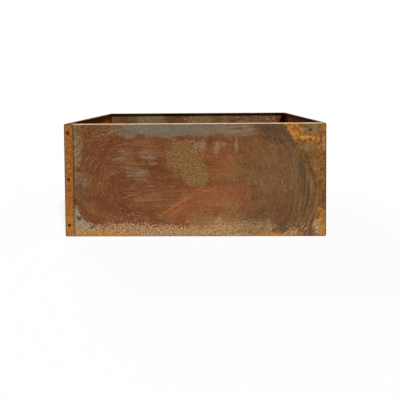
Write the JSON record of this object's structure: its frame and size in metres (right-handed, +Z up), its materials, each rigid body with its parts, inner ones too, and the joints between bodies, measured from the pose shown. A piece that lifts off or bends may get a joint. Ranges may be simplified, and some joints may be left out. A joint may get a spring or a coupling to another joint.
{
  "type": "planter box",
  "caption": "Open-topped rectangular planter box of folded weathering-steel panels, bolted together at lapped corner flanges.",
  "frame": {"origin": "on the ground under the middle of the box", "axes": "+X along the length to the right as seen from the front, +Y from front to back, +Z up"},
  "size_m": [0.9266, 0.6166, 0.4],
  "materials": {
    "panel_steel": "matte",
    "base_steel": "matte",
    "fastener_steel": "matte"
  },
  "bodies": {
    "root": {"front_panel": "panel_steel", "right_panel": "panel_steel", "back_panel": "panel_steel", "left_panel": "panel_steel", "base_panel": "base_steel", "front_left_screws": "fastener_steel", "front_right_screws": "fastener_steel", "back_right_screws": "fastener_steel", "back_left_screws": "fastener_steel", "front_left_washers": "fastener_steel", "front_right_washers": "fastener_steel", "back_right_washers": "fastener_steel", "back_left_washers": "fastener_steel", "front_left_nuts": "fastener_steel", "front_right_nuts": "fastener_steel", "back_right_nuts": "fastener_steel", "back_left_nuts": "fastener_steel"}
  },
  "joints": []
}
